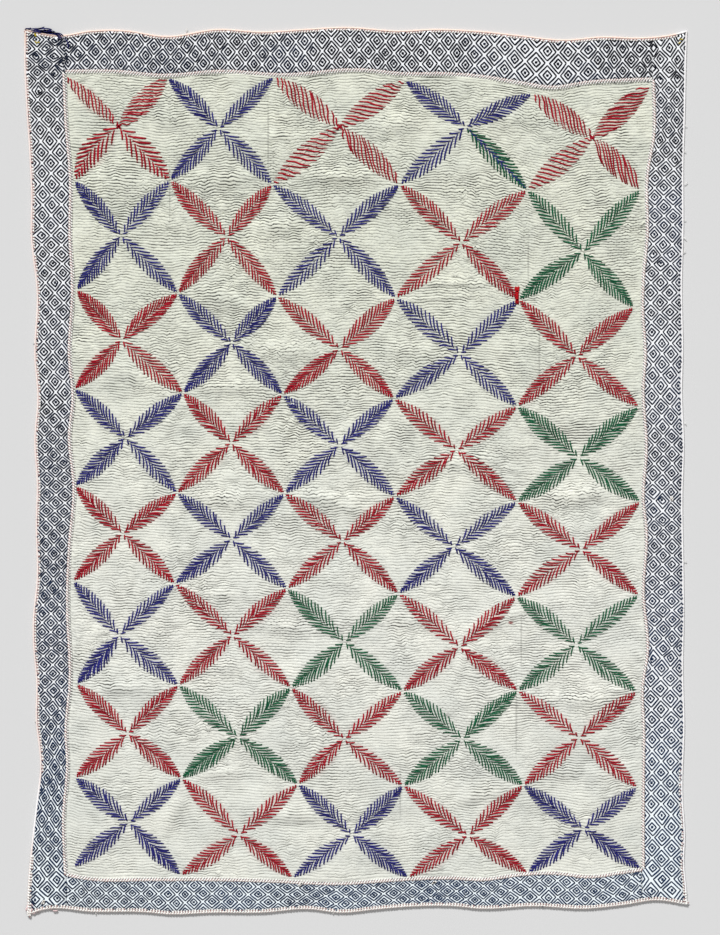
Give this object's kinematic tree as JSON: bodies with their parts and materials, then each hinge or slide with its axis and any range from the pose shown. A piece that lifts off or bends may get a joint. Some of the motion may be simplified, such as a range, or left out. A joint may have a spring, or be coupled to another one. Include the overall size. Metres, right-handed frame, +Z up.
{
  "type": "kantha quilt",
  "caption": "Flat quilted cotton throw with rows of embroidered crosses on a pale ground and patterned border strips on all sides.",
  "frame": {"origin": "middle of the quilt, on the surface that it lies on", "axes": "+X across the quilt to the right as seen from above, +Y along it to the top edge of the pattern, +Z up out of the quilt's face"},
  "size_m": [1.326, 1.776, 0.0086],
  "materials": {
    "ground_cotton": "matt, quilted",
    "border_cotton": "matt, patterned",
    "thread": "soft sheen"
  },
  "bodies": {
    "root": {"quilt_ground": "ground_cotton", "border_left": "border_cotton", "border_right": "border_cotton", "border_top": "border_cotton", "border_bottom": "border_cotton", "mend_knot": "thread"}
  },
  "joints": []
}
